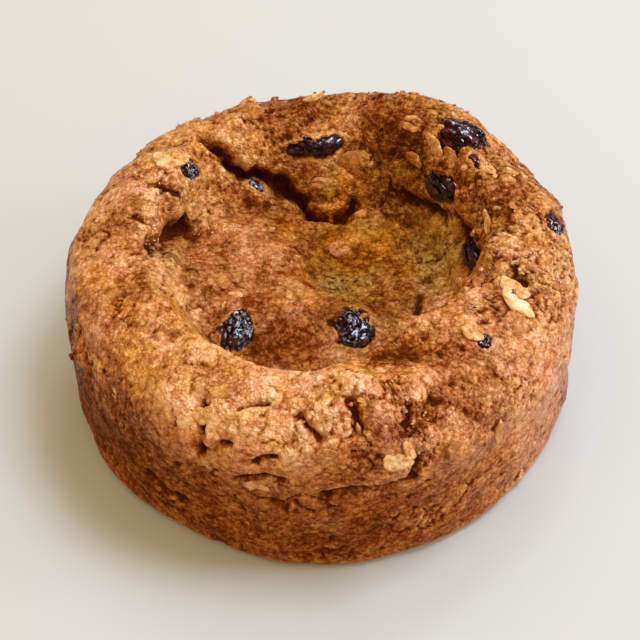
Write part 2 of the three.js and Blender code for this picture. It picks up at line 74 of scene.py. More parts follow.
# The rim at every 30 degrees: height, crest radius, slope width, outer radius, share of it at the foot.
RIM = np.array([
    (37.0, 31.5, 9, 46.0, 0.985),
    (38.5, 33.0, 10, 45.6, 0.985),
    (40.0, 33.5, 9, 45.2, 0.985),
    (36.4, 37.0, 14, 44.6, 0.985),
    (34.6, 37.0, 14, 45.0, 0.985),
    (35.8, 34.0, 8, 45.6, 0.985),
    (36.0, 31.5, 8, 45.8, 0.985),
    (35.8, 31.0, 9, 45.4, 0.97),
    (35.6, 31.0, 7, 44.6, 0.97),
    (35.4, 31.0, 8, 44.8, 0.985),
    (34.0, 24.5, 7, 44.6, 0.975),
    (34.6, 27.0, 8, 45.4, 0.965),
])

# Places on the skin are (angle in degrees, distance along the skin from the axis).
# Swellings and hollows: path, reach, height.
SWELLINGS = [
    ([(142, 23.5), (151, 16), (185, 16)], 12, 4.2),
    ([(175, 30.5), (187, 25.5)], 7, 4.0),
    ([(242, 8.5), (294, 11)], 7, 2.6),
    ([(67, 6.5), (58, 10.5)], 8, -1.2),
    ([(22, 27.5)], 7, -1.4),
    ([(111, 35), (99, 32), (84, 30)], 7, 2.6),
    ([(110, 37.5), (86, 33.5)], 8, 1.4),
    ([(146, 41.5), (135, 38.5)], 6, 1.4),
    ([(161, 41), (149, 34.5)], 5, 1.8),
    ([(50, 36), (37, 33.5)], 4, 1.2),
    ([(110, 42.5)], 2.2, 1.6),
    ([(92, 41)], 2.2, 1.8),
    ([(86, 40)], 4, -1.0),
    ([(51, 52)], 6, 0.6),
    ([(323, 19), (315, 41), (324, 43)], 3.5, 1.6),
    ([(287, 41.5), (298, 42.5)], 4, -1.2),
    ([(284, 46.5), (285, 52.5)], 8, 3.4),
    ([(298, 48), (298, 50)], 5, 2.6),
    ([(278, 44)], 4, 2.0),
    ([(284, 48.5), (284, 52), (286, 56.5)], 2.6, 1.6),
    ([(254, 52.5), (262, 50)], 8, 1.5),
    ([(234, 56.5)], 10, 0.9),
    ([(268, 46.5)], 4.5, 1.0),
    ([(273, 52.5)], 3.5, 1.0),
    ([(355, 42)], 4, 1.5),
    ([(355, 46.5)], 3, 1.1),
    ([(4, 44.5)], 3, 1.2),
    ([(12, 43.5)], 3, 0.9),
    ([(23, 42.5)], 3.5, 0.9),
    ([(346, 49.5)], 3.5, 1.0),
    ([(18, 56)], 2.6, 1.3),
    ([(314, 55)], 6, 0.7),
    ([(301, 60)], 4, 1.1),
    ([(60, 58), (78, 60)], 7, 1.2),
    ([(128, 55), (140, 60)], 6, 1.4),
    ([(166, 62)], 5, 1.0),
]

# Cracks and pits: path, half width, depth.
CRACKS = [
    ([(127, 40.5), (126, 38), (123, 34), (120, 32), (114, 31), (106, 29.5), (98, 27), (94, 23.5),
      (86, 22.5), (79, 23), (75, 25.5)], 1.1, 4.5),
    ([(178, 37.5), (172, 33.5), (162, 31.5), (153, 29.5)], 1.7, 3.6),
    ([(157, 41), (150, 34.5)], 0.8, 2.2),
    ([(169, 42), (170, 40.5)], 0.6, 1.2),
    ([(55, 30.5), (46, 31), (34, 32)], 0.8, 1.8),
    ([(20, 33), (16, 32), (5, 33)], 1.9, 4.2),
    ([(46, 39.5), (41, 39)], 1.6, 2.8),
    ([(1, 21), (350, 21)], 0.7, 1.4),
    ([(347, 39), (349, 40.5)], 1.4, 1.8),
    ([(350, 43), (344, 45)], 0.8, 1.5),
    ([(241, 49.5), (242, 54), (243, 59)], 0.8, 4.0),
    ([(244, 58), (250, 56)], 0.5, 1.8),
    ([(250, 48.5), (256, 46)], 0.6, 1.4),
    ([(265, 47), (267, 50), (269, 52), (272, 51)], 0.9, 1.8),
    ([(271, 64), (276, 63), (282, 62.5), (286, 62), (290, 61.5), (291, 57.5)], 1.0, 2.2),
    ([(290, 49.5), (290, 56.5)], 1.0, 2.0),
    ([(299, 49), (295, 51)], 1.4, 2.4),
    ([(278, 46.5), (278, 50.5)], 0.9, 1.8),
    ([(257, 57.5), (260, 56.5)], 0.9, 1.8),
    ([(252, 62), (258, 61), (262, 61.5)], 0.7, 1.3),
    ([(228, 72.5), (232, 74), (237, 75)], 0.8, 1.4),
    ([(70, 66), (80, 64), (88, 67)], 0.9, 1.8),
    ([(118, 60), (124, 66)], 0.8, 1.6),
    ([(156, 58), (162, 70)], 0.8, 1.4),
]

UNEVEN = [(11, 0.7, 1), (6, 0.45, 2)]  # noise: size, height, seed
KNOBS = (3.4, 0.9, 3)  # lumps packed side by side: size, height, seed
KNOB_MIDDLE = 0.55
KNOB_FADE = (50, 66, 0.35)  # from, to, and the share of the knobs' height that is left on the wall
CRACK_WANDER = [(3.5, 0.9, 11), (1.6, 0.35, 14)]
CRACK_POWER = 1.6
SWELLING_FADE = 6.0
UNEVEN_FADE = 4.0

# Where the crust is crumbly: place, reach, how much more than elsewhere.
CRUMBLY = [
    ((286, 51), 9, 0.9),
    ((268, 47), 5, 0.35),
    ((5, 43), 13, 0.35),
    ((345, 47), 9, 0.4),
    ((40, 42), 10, 0.25),
    ((150, 38), 7, 0.4),
    ((176, 34.5), 3.5, 0.8),
    ((70, 60), 14, 0.2),
    ((125, 60), 14, 0.15),
    ((150, 16), 13, 0.15),
    ((30, 16), 14, 0.22),
    ((284, 51), 3.2, -1.2),
    ((286, 55), 3.0, -1.2),
]
CALM = 0.15
CALM_KNOBS = 0.30  # the share of the knobs' height where the crust isn't crumbly at all

# ---------- noise

CELL_FACTORS = (374761393, 668265263, 1440662683)  # one for each of a cell's three whole numbers
SEED_FACTOR = 1274126177
LAST_FACTOR = 2246822519
LOW_BITS = 0xFFFFFFFF


def cell_hash(cells, seed):
    """A whole number from 0 to 2^32 for each row of three whole numbers."""
    mixed = sum(cells[:, k] * factor for k, factor in enumerate(CELL_FACTORS))
    h = (mixed + seed * SEED_FACTOR) & LOW_BITS
    h = ((h ^ (h >> 13)) * SEED_FACTOR) & LOW_BITS
    h = ((h ^ (h >> 16)) * LAST_FACTOR) & LOW_BITS
    return h ^ (h >> 15)


def hash_parts(h):
    """Three numbers from 0 to 1 for each hash."""
    return np.stack([(h >> shift & 1023) / 1023 for shift in (0, 10, 20)], -1)


def corners(low, high):
    """Every corner of a block of cells, as rows of three whole numbers."""
    steps = range(low, high + 1)
    return [np.array((x, y, z)) for x in steps for y in steps for z in steps]


def noise(points, size, seed):
    """Smooth noise of about -1 to 1 whose hills are `size` apart."""
    q = points / size
    cell = np.floor(q).astype(np.int64)
    f = q - cell
    fade = f ** 3 * (f * (f * 6 - 15) + 10)
    total = np.zeros(len(points))
    for corner in corners(0, 1):
        slopes = 2 * hash_parts(cell_hash(cell + corner, seed)) - 1
        weight = np.where(corner, fade, 1 - fade).prod(-1)
        total += weight * (slopes * (f - corner)).sum(-1)
    return total * 1.6


def noise_vectors(points, size, height, seed):
    """Three noises for each point, for bending a path or a pattern."""
    return height * np.stack([noise(points, size, seed + k) for k in range(3)], -1)


def cell_distances(points, size, seed):
    """For one point scattered in each cell: the distances to the nearest and the second nearest, in units
    of `size`, and a number from 0 to 1 that belongs to the nearest."""
    q = points / size
    cell = np.floor(q).astype(np.int64)
    first = np.full(len(points), 9.0)
    second = np.full(len(points), 9.0)
    owner = np.zeros(len(points))
    for corner in corners(-1, 1):
        h = cell_hash(cell + corner, seed)
        distance = np.linalg.norm(cell + corner + hash_parts(h) - q, axis=-1)
        nearer = distance < first
        second = np.minimum(second, np.where(nearer, first, distance))
        owner = np.where(nearer, (h >> 7 & 255) / 255, owner)
        first = np.minimum(first, distance)
    return first, second, owner


def smooth_step(low, high, value):
    t = np.clip((value - low) / (high - low), 0, 1)
    return t * t * (3 - 2 * t)


# ---------- the form


def share_of(along, start, length):
    return np.clip((along - start) / length, 0, 1)


def rim_at(angle):
    """The rim's five values at each angle in radians, on a smooth closed curve through its stations."""
    count = len(RIM)
    turns = (angle / (2 * np.pi) % 1) * count
    i = np.floor(turns).astype(int)
    t = (turns - i)[:, None]
    a, b, c, d = (RIM[(i + k) % count] for k in (-1, 0, 1, 2))
    curve = 2 * b + (c - a) * t + (2 * a - 5 * b + 4 * c - d) * t ** 2 + (3 * b - a - 3 * c + d) * t ** 3
    return (0.5 * curve).T


def smooth_skin(angle, along):
    """Points on the smooth skin, and on past its edge on the flat base."""
    height, crest, slope, radius, foot = rim_at(angle)
    floor_radius = crest - slope
    wall_top = height - SHOULDER_DROP
    foot_radius = radius * foot
    r = floor_radius * np.minimum(along / FLOOR_END, 1)
    z = np.full_like(along, FLOOR_HEIGHT)

    t = share_of(along, FLOOR_END, ZONES["slope"])
    r = r + slope * t
    z = z + (height - FLOOR_HEIGHT) * t * t * (3 - 2 * t)

    turn = share_of(along, SLOPE_END, ZONES["shoulder"]) * np.pi / 2
    r = r + (radius - crest) * np.sin(turn) ** (2 / SHOULDER_POWER)
    z = z - SHOULDER_DROP * (1 - np.cos(turn) ** (2 / SHOULDER_POWER))

    t = share_of(along, SHOULDER_END, ZONES["wall"])
    r = r + (foot_radius - radius) * t ** WALL_BOW
    z = z + (BASE_ROUND - wall_top) * t

    turn = share_of(along, WALL_END, ZONES["edge"]) * np.pi / 2
    r = r - BASE_ROUND * (1 - np.cos(turn))
    z = z - BASE_ROUND * np.sin(turn)

    r = r * (1 - share_of(along, SKIN, BASE))
    z = np.where(along >= SKIN, 0, z)
    return np.stack([r * np.cos(angle), r * np.sin(angle), z], -1)


def distance_to_path(points, path):
    """The distance from each point to a path of points."""
    if len(path) == 1:
        return np.linalg.norm(points - path[0], axis=-1)
    best = np.full(len(points), np.inf)
    for start, end in zip(path[:-1], path[1:]):
        line = end - start
        t = np.clip((points - start) @ line / (line @ line), 0, 1)
        best = np.minimum(best, np.linalg.norm(points - start - t[:, None] * line, axis=-1))
    return best


def on_skin(places, skin):
    """The points of a skin function at a list of places."""
    turn, along = np.array(places, float).T
    return skin(np.radians(turn), along)


def swell_directions(angle, along):
    turn = share_of(along, SLOPE_END, ZONES["shoulder"]) * np.pi / 2
    out = np.sin(turn)
    return np.stack([out * np.cos(angle), out * np.sin(angle), np.cos(turn)], -1)


def swollen_skin(angle, along):
    """Points on the skin with its swellings and hollows."""
    points = smooth_skin(angle, along)
    height = np.zeros(len(points))
    for path, reach, rise in SWELLINGS:
        far = distance_to_path(points, on_skin(path, smooth_skin))
        height += rise * np.exp(-((far / reach) ** 2))
    height *= np.clip((WALL_END - along) / SWELLING_FADE, 0, 1)
    return points + swell_directions(angle, along) * height[:, None]


def crack_depths(points):
    """How deep the cracks are at each point."""
    bent = points + sum(noise_vectors(points, *layer) for layer in CRACK_WANDER)
    depth = np.zeros(len(points))
    for path, half, deep in CRACKS:
        across = distance_to_path(bent, on_skin(path, swollen_skin)) / half
        depth += deep * np.exp(-(across ** CRACK_POWER))
    return depth


def share_near(points, place, reach):
    """A share for each point that is 1 at a place on the skin and falls off with distance from it."""
    centre = on_skin([place], swollen_skin)[0]
    return np.exp(-((np.linalg.norm(points - centre, axis=-1) / reach) ** 2))


def crumbly_at(points):
    """How crumbly the crust is at each point, from CALM to 1."""
    crumbly = CALM + sum(more * share_near(points, place, reach) for place, reach, more in CRUMBLY)
    return np.clip(crumbly, 0, 1)


def coarse_relief(points, along, crumbly):
    """The unevenness and the knobs that the solid has too. The knobs are softer where the crust is calm."""
    height = sum(h * noise(points, size, seed) for size, h, seed in UNEVEN)
    bent = points + 0.5 * sum(noise_vectors(points, *layer) for layer in CRACK_WANDER)
    size, rise, seed = KNOBS
    start, end, left = KNOB_FADE
    knobs = rise * (KNOB_MIDDLE - cell_distances(bent, size, seed)[0])
    knobs *= 1 - (1 - left) * smooth_step(start, end, along)
    height = height + knobs * (CALM_KNOBS + (1 - CALM_KNOBS) * crumbly)
    return height * np.clip((SKIN - along) / UNEVEN_FADE, 0, 1)


# ---------- nets of triangles


def stitch(inner, outer):
    """The faces between two rings of points, each (first index, count, turn in steps)."""
    steps = [(np.arange(1, count + 1) + turn) / count for _, count, turn in (inner, outer)]
    ends = np.concatenate(steps)
    is_outer = np.concatenate([np.zeros(inner[1], bool), np.ones(outer[1], bool)])
    order = np.lexsort((~is_outer, ends))
    is_outer = is_outer[order]
    i = np.cumsum(~is_outer) - ~is_outer
    o = np.cumsum(is_outer) - is_outer
    at_inner = inner[0] + i % inner[1]
    at_outer = outer[0] + o % outer[1]
    next_point = np.where(is_outer, outer[0] + (o + 1) % outer[1], inner[0] + (i + 1) % inner[1])
    faces = np.stack([at_inner, at_outer, next_point], -1)
    real = (next_point != at_inner) & (next_point != at_outer)
    return faces[real]


def net_of_rings(rings):
    """Each point's angle and distance, and the faces, for rings given as (count, distance)."""
    angle, distance, faces = [], [], []
    first, inner = 0, None
    for k, (count, far) in enumerate(rings):
        turn = (k % 2) / 2 if count > 1 else 0
        angle.append((np.arange(count) + turn) * 2 * np.pi / count)
        distance.append(np.full(count, far))
        outer = (first, count, turn)
        if inner:
            faces.append(stitch(inner, outer))
        first, inner = first + count, outer
    return np.concatenate(angle), np.concatenate(distance), np.concatenate(faces)


def skin_net():
    """The net from the axis over the rim to the middle of the base."""
    rings = [(1, 0.0)]
    rings += [(min(6 * k, COLUMNS), k * SKIN / RINGS) for k in range(1, RINGS + 1)]
    rings += [(COLUMNS // 2 ** k, SKIN + k * BASE / BASE_RINGS) for k in range(1, BASE_RINGS)]
    rings += [(1, SKIN + BASE)]
    return net_of_rings(rings)


def normals_of(points, faces):
    across = [points[faces[:, k]] - points[faces[:, 0]] for k in (1, 2)]
    face_normals = np.cross(*across)
    total = np.zeros_like(points)
    for k in range(3):
        for axis in range(3):
            total[:, axis] += np.bincount(faces[:, k], face_normals[:, axis], len(points))
    return total / np.maximum(np.linalg.norm(total, axis=-1, keepdims=True), 1e-12)


def averaged(points, faces, rounds):
    """Points, each replaced by the mean of its neighbours, a number of times."""
    count = np.bincount(faces.ravel(), minlength=len(points)) * 2.0
    for _ in range(rounds):
        total = np.zeros_like(points)
        for k in range(3):
            neighbours = points[faces[:, (k + 1) % 3]] + points[faces[:, (k + 2) % 3]]
            for axis in range(3):
                total[:, axis] += np.bincount(faces[:, k], neighbours[:, axis], len(points))
        points = total / count[:, None]
    return points


def to_frame(points):
    """The form's millimetres in the frame's metres."""
    middle = (dough_low + dough_high) / 2
    return (points - FORM_CENTRE) * MM + np.array([middle[0], middle[1], dough_low[2]])


def mesh_piece(name, points, faces, attributes):
    """A smooth mesh object from points in metres, with one number per point for each attribute."""
    mesh = bpy.data.meshes.new(name)
    mesh.from_pydata(points.tolist(), [], faces.tolist())
    for key, values in attributes.items():
        mesh.attributes.new(key, "FLOAT", "POINT").data.foreach_set("value", values.astype(np.float32))
    mesh.update()
    mesh.shade_smooth()
    piece = bpy.data.objects.new(name, mesh)
    bpy.context.scene.collection.objects.link(piece)
    return piece


# ---------- places on the skin and in the solids


def seat_at(place):
    """A point of the skin and its axes as rows: round the rim, up the skin's slope and out of it."""
    turn, along = place
    angle = math.radians(turn)
    step = 1.5
    aside = step / max(along, step)
    angles = np.array([angle, angle - aside, angle + aside, angle, angle])
    alongs = np.array([along, along, along, along - step, along + step], float)
    point, before, after, inner, outer = swollen_skin(angles, alongs)
    normal = np.cross(outer - inner, after - before)
    normal /= np.linalg.norm(normal)
    x = after - before
    x -= normal * (x @ normal)
    x /= np.linalg.norm(x)
    return point, np.stack([x, np.cross(normal, x), normal])


def turned(axes, turn, tilt=0.0):
    """Axes turned about their normal, then tilted about their own X, in degrees."""
    c, s = math.cos(math.radians(turn)), math.sin(math.radians(turn))
    axes = np.array([[c, s, 0], [-s, c, 0], [0, 0, 1]]) @ axes
    c, s = math.cos(math.radians(tilt)), math.sin(math.radians(tilt))
    return np.array([[1, 0, 0], [0, c, s], [0, -s, c]]) @ axes


RAISIN_NODES = sorted(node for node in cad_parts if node.startswith("raisin"))
SEAT_REACH = 6.0  # how far round a raisin the skin's direction is taken


def raisin_seat(node, skin_points, skin_normals):
    """A raisin's middle, its axes along length, width and thickness as rows, and its half sizes, in metres.
    Its thickness is the one of its two short axes that points more nearly out of the skin."""
    points = np.array([vertex.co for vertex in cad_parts[node].data.vertices])
    centre = (points.min(0) + points.max(0)) / 2
    _, axes = np.linalg.eigh(np.cov((points - centre).T))
    near = np.linalg.norm(to_frame(skin_points) - centre, axis=-1) < SEAT_REACH * MM
    outward = skin_normals[near].mean(0)
    thickness = max(axes.T[:2], key=lambda axis: abs(axis @ outward))
    thickness = thickness * np.sign(thickness @ outward)
    length = axes[:, 2] * np.sign(axes[0, 2] + axes[1, 2])
    axes = np.stack([length, np.cross(thickness, length), thickness])
    return centre, axes, np.abs((points - centre) @ axes.T).max(0)


# ---------- the dough's fine relief

# Plates of the crust and chunks of a crumbly one: their size and seed, the half width (as a share of their
# size) and the depth of the cracks between them, and how far one stands above another.
PLATES = (5.6, 31, 0.08, 0.5, 0.15)
CHUNKS = (3.4, 35, 0.20, 1.2, 0.80)
CRACKLE_BEND = [(2.8, 1.5, 33), (1.2, 0.5, 36)]  # how uneven those cracks run: size, height, seed
PATCHES = (7.5, 39)  # the noise that is high where the plates show: size, seed
PATCH_EDGE = (0.1, 0.5)  # from where to where in that noise they come in
CRUMBS_IN_SKIN = [(2.0, 0.16, 41), (1.2, 0.10, 42)]  # size, height, seed
CRUMB_BEND = (1.5, 0.4, 61)  # how uneven they and the creases are: size, height, seed
CRUMB_FILL = 0.72  # a crumb's radius as a share of its cell
CREASES = [(3.0, 0.09, 43), (1.5, 0.09, 44)]  # size, height, seed
CREASE_STEEPNESS = 2.6
PITS = (2.6, 0.8, 0.38, 51)  # size of the cells, depth, share of the cells that hold a pit, seed
PIT_BEND = (1.1, 0.35, 64)  # how uneven they are: size, height, seed
PIT_RADIUS = 0.16  # as a share of its cell
SUNK_FLAKES = 210
SUNK_FLAKE_SEED = 7
SUNK_SPREAD = (8, 78)  # the square of one's distance along the skin lies between these, times the second
SUNK_LENGTHS = (3.4, 6.0)
SUNK_WIDTHS = (0.55, 0.8)  # as a share of the length
SUNK_RISES = (0.10, 0.30)

# The part of a raisin that stays bare of dough: its share of the raisin's half sizes, and how far along X
# and Y it is shifted in millimetres. The others have MOSTLY_BARE.
BARE_PARTS = {
    "raisin_floor_left": (0.82, 0.3, -0.8),
    "raisin_floor_front": (0.80, 0.2, -0.8),
    "raisin_back_long": (0.80, 0.0, 0.0),
    "raisin_chunk_left": (0.62, 0.4, -0.8),
    "raisin_crack_side": (0.50, -0.5, 0.9),
    "raisin_rim_back": (0.95, 0.0, 0.0),
    "raisin_rim_under": (0.60, 0.0, 0.0),
    "raisin_rim_slope": (0.80, 0.0, 0.0),
    "raisin_rim_right": (0.55, 0.0, 0.0),
    "raisin_edge_right": (0.80, 0.0, 0.0),
    "raisin_wall_left": (0.62, 0.0, 0.0),
}
MOSTLY_BARE = (0.85, 0.0, 0.0)
COVER_EDGE = [(3.6, 0.8, 66), (1.5, 0.35, 67)]  # how uneven the edge of the bare part is: size, height, seed
COVER_SKIN = 0.9  # how far the drawn dough lies above the raisin
COVER_BLEND = 0.8  # how softly the bulge of the drawn dough runs into the skin
COVER_END = (1.15, 1.5)  # from where to where that bulge ends, as a share of the raisin's half sizes
CREVICE = (0.7, 0.1, 0.35)  # the gap next to a raisin: depth, how far out of its outline, half width
UNDER_RAISIN = 0.8  # how far the skin lies below a bare raisin's top
CRACK_CALM = 2.5  # the depth of crack at which the fine relief is down to about a third
HOLLOW_EDGE = (22, 34)  # from where to where along the skin the hollow ends
WALL_EDGE = (47, 71)  # from where to where along the skin the wall begins


def crackle(points, crumbly):
    """Plates of the crust with short cracks between them, in patches, and the chunks of a crumbly one."""
    bent = points + sum(noise_vectors(points, *layer) for layer in CRACKLE_BEND)
    heights = []
    for size, seed, half, depth, step in (PLATES, CHUNKS):
        first, second, owner = cell_distances(bent, size, seed)
        gap = ((second - first) / half) ** 2
        heights.append(step * (owner - 0.5) * (1 - np.exp(-gap / 4)) - depth * np.exp(-gap))
    plates, chunks = heights
    patches = smooth_step(*PATCH_EDGE, noise(points, *PATCHES))
    return plates * patches + chunks * np.clip(crumbly - CALM, 0, 1)


def crumbs_in_skin(points, crumbly):
    """Rounded crumbs side by side where the crust is crumbly, and sharp creases everywhere."""
    bent = points + noise_vectors(points, *CRUMB_BEND)
    height = np.zeros(len(points))
    for size, rise, seed in CRUMBS_IN_SKIN:
        first, _, owner = cell_distances(bent, size, seed)
        rounded = np.sqrt(np.clip(1 - (first / CRUMB_FILL) ** 2, 0, 1))
        height += rise * rounded * (0.2 + owner) * crumbly
    for size, rise, seed in CREASES:
        crease = np.minimum(CREASE_STEEPNESS * np.abs(noise(bent, size, seed)), 1)
        height += rise * crease * (0.6 + crumbly)
    return height


def pits(points):
    """Small deep holes in the cells whose number is low enough."""
    size, depth, share, seed = PITS
    bent = points + noise_vectors(points, *PIT_BEND)
    first, _, owner = cell_distances(bent, size, seed)
    return depth * np.exp(-((first / PIT_RADIUS) ** 2)) * (owner < share)


def sunk_flakes(points, rng):
    """Oat flakes just under the skin: their relief, and how much of each point is flake."""
    height, cover = np.zeros(len(points)), np.zeros(len(points))
    start, end = SUNK_SPREAD
    for _ in range(SUNK_FLAKES):
        place = (rng.uniform(0, 360), math.sqrt(rng.uniform(start, end) * end))
        long = rng.uniform(*SUNK_LENGTHS)
        wide = long * rng.uniform(*SUNK_WIDTHS)
        point, axes = seat_at(place)
        axes = turned(axes, rng.uniform(0, 180))
        local = (points - point) @ axes.T
        near = (np.abs(local) < long).all(-1)
        x, y = 2 * local[near, 0] / long, 2 * local[near, 1] / wide
        edge = np.hypot(x, y) + 0.16 * noise(points[near], 1.5, 71)
        inside = 1 - smooth_step(0.86, 1.04, edge)
        shown = smooth_step(-0.5, 0.5, x * rng.choice((-1, 1)) + rng.uniform(-0.2, 0.4))
        groove = 0.07 * np.exp(-((y / 0.12) ** 2)) * inside
        trench = 0.15 * np.exp(-(((edge - 1.12) / 0.12) ** 2))
        rise = rng.uniform(*SUNK_RISES) * (1 + 0.5 * x)
        height[near] += shown * (rise * inside - groove - trench)
        cover[near] = np.maximum(cover[near], inside * shown * rng.uniform(0.15, 0.9))
    return height, cover


def dress_raisins(points, seats):
    """Moves the skin clear of each raisin and draws some of the dough over it. Gives the points, and how
    bare of crumbs they stay."""
    moved, bare = points.copy(), np.zeros(len(points))
    gap, gap_place, gap_half = CREVICE
    for node, (centre, axes, halves) in seats.items():
        local = (to_frame(points) - centre) @ axes.T / MM
        half = halves / MM
        share, *shift = BARE_PARTS.get(node, MOSTLY_BARE)
        rho = np.hypot(local[:, 0] / half[0], local[:, 1] / half[1])
        near = (rho < 2) & (np.abs(local[:, 2]) < half[2] + 2.5)
        from_bare = (local[near, :2] - axes[:2, :2] @ shift) / half[:2]
        height, rho, place = local[near, 2], rho[near], points[near]
        out = (rho - 1) * half[:2].mean()
        top = half[2] * np.sqrt(np.clip(1 - rho ** 2, 0, 1))
        bulge = half[2] * (1 - rho ** 2) + COVER_SKIN
        edge = sum(rise * noise(place, size, seed) for size, rise, seed in COVER_EDGE)
        drawn = smooth_step(-0.22, 0.22, edge + 2 * (np.linalg.norm(from_bare, axis=-1) - share))
        inside = 1 - smooth_step(-0.35, 0.15, out)
        lifted = (bulge - height + np.hypot(bulge - height, COVER_BLEND)) / 2
        covered = height + lifted * (1 - smooth_step(*COVER_END, rho))
        crevice = gap * np.exp(-(((out - gap_place) / gap_half) ** 2))
        uncovered = inside * np.minimum(height, top - UNDER_RAISIN) + (1 - inside) * (height - crevice)
        rise = drawn * covered + (1 - drawn) * uncovered - height
        moved[near] += rise[:, None] * axes[2]
        bare[near] = np.maximum(bare[near], inside)
    return moved, bare


def painted_cavity_shading_at(points, faces, normals, crack):
    """Painted shade and light from the relief: how much darker each point is coloured for lying in a hollow
    or a crack, and how much lighter for standing out.
    """
    small, large = (((averaged(points, faces, rounds) - points) * normals).sum(-1) for rounds in (3, 26))
    painted_cavity_shading = 1.8 * np.clip(small - 0.04, 0, 0.22) - 0.5 * np.clip(-0.06 - small, 0, 0.2)
    return painted_cavity_shading + (0.14 * np.clip(large, -1, 1.6) + 0.10 * crack)


def dough_skin():
    """The dough's points, faces and the numbers that colour it."""
    angle, along, faces = skin_net()
    swollen = swollen_skin(angle, along)
    on_base = along >= SKIN
    crumbly = crumbly_at(swollen)
    crack = crack_depths(swollen)
    relief = coarse_relief(swollen, along, crumbly) - crack
    points = swollen + normals_of(swollen, faces) * relief[:, None]
    normals = normals_of(points, faces)

    hollow = 1 - smooth_step(*HOLLOW_EDGE, along)
    wall = smooth_step(*WALL_EDGE, along)
    flake_height, flake = sunk_flakes(points, np.random.default_rng(SUNK_FLAKE_SEED))
    crumbs = crumbs_in_skin(points, crumbly) * (1 - 0.8 * flake)
    holes = pits(points) * (1 - 0.6 * hollow) * (1 - flake)
    plates = crackle(points, crumbly) * (1 - 0.5 * hollow)
    relief = (crumbs + plates + flake_height * (1 - 0.4 * wall) - holes) * np.exp(-crack / CRACK_CALM)
    seats = {node: raisin_seat(node, points, normals) for node in RAISIN_NODES}
    points = points + normals * (relief * np.clip((SKIN - along) / 2, 0, 1))[:, None]
    points, bare = dress_raisins(points, seats)
    points[:, 2] = np.where(on_base, 0, np.maximum(points[:, 2], 0))

    normals = normals_of(points, faces)
    painted_cavity_shading = painted_cavity_shading_at(points, faces, normals, crack)
    return {
        "points": points, "faces": faces, "normals": normals, "along": along, "hollow": hollow,
        "wall": wall, "flake": flake * (1 - bare), "painted_cavity_shading": np.where(on_base, 0, painted_cavity_shading), "bare": bare,
        "crumbly": crumbly, "seats": seats,
    }


# ---------- the dough's colours

# Places, the reach of each, and how much browner, redder and more olive the skin is there.
TINTS = [
    ((257, 45), 15, -0.15, 0.35, 0.0),
    ((71, 33), 5, 0.0, -0.3, 0.4),
    ((14, 7), 5, 0.04, -0.3, 0.4),
    # Painted shade: the front mound's slope that faces away from the lamps, browner.
    ((244, 13), 8, 0.16, 0.0, 0.1),
    # Painted shade: the valley's near slope, which faces away from the lamps, browner.
    ((292, 41), 7, 0.28, 0.0, 0.0),
    ((325, 35), 8, 0.24, 0.0, 0.0),
    ((312, 50), 9, 0.32, 0.2, 0.0),
    ((55, 36), 9, 0.26, -0.3, 0.40),
    ((50, 31), 6, 0.02, -0.2, 0.35),
    ((70, 41), 9, 0.22, 0.1, 0.0),
    ((100, 41), 8, 0.20, 0.0, 0.0),
    ((26, 43), 9, 0.28, 0.0, 0.1),
    ((100, 33), 9, 0.14, -0.2, 0.15),
    ((159, 15), 14, -0.08, 0.6, -0.1),
    ((94, 15), 10, 0.06, -0.5, 0.1),
    ((36, 20), 12, 0.0, -0.5, 0.25),
    ((65, 6), 5, -0.10, -0.3, 0.8),
    ((26, 29), 5.5, -0.10, -0.4, 0.8),
    ((189, 35), 6, -0.10, 0.1, 0.3),
    ((175, 31), 4, 0.0, 0.0, 0.6),
    ((13, 38), 6, 0.16, -0.2, 0.3),
    ((345, 47), 9, 0.16, -0.1, 0.1),
    ((193, 46), 12, 0.10, 0.4, 0.0),
    ((163, 42), 8, 0.02, 0.3, 0.1),
    ((286, 50), 7, 0.22, 0.5, 0.0),
    ((146, 32), 4, 0.0, -0.2, 0.6),
    # Painted light: the wall's right side, where the side lamp falls, paler and redder.
    ((330, 68), 22, -0.28, 0.7, 0.0),
    ((215, 62), 15, 0.12, 0.0, 0.0),
]
# Places with a sheen, the reach of each, and how much more gloss it has.
GLOSSY = [
    ((284, 52), 4, 0.5),
    ((350, 68), 22, 0.5),
    ((314, 52), 7, 0.3),
    ((163, 42), 8, 0.3),
    ((159, 18), 11, 0.4),
    ((65, 16), 14, -0.6),
]


def dough_tints(skin):
    """How brown, red, olive and glossy the dough is at each point, and how strong its grain, from 0 to 1.
    Some of the brown is painted shade on slopes that face away from the lamps, and some paleness is painted
    light on the wall's right side.
    """
    points, hollow, wall = skin["points"], skin["hollow"], skin["wall"]
    grain = 1 - 0.10 * hollow - 0.15 * wall
    blotches = 0.18 * noise(points, 9, 81) + 0.12 * noise(points, 3.2, 82)
    toast_and_painted_shading = 0.48 + 0.29 * wall + 0.18 * hollow + blotches * (1 - 0.5 * wall)
    red = 0.40 + 0.60 * noise(points, 4.0, 84)
    olive = hollow * (0.14 + 0.30 * noise(points, 5, 83))
    olive += 0.35 * (1 - wall) * noise(points, 3.4, 86)
    for place, reach, browner, redder, more_olive in TINTS:
        share = share_near(points, place, reach)
        toast_and_painted_shading += browner * share
        red += redder * share
        olive += more_olive * share
    gloss = (1 - 0.6 * wall) * (0.55 + 0.45 * noise(points, 6, 85))
    for place, reach, glossier in GLOSSY:
        gloss += glossier * share_near(points, place, reach)
    tints = {"toast_and_painted_shading": toast_and_painted_shading, "red": red, "olive": olive, "gloss": gloss, "grain": grain}
    return {key: np.clip(values, 0, 1) for key, values in tints.items()}


# ---------- materials

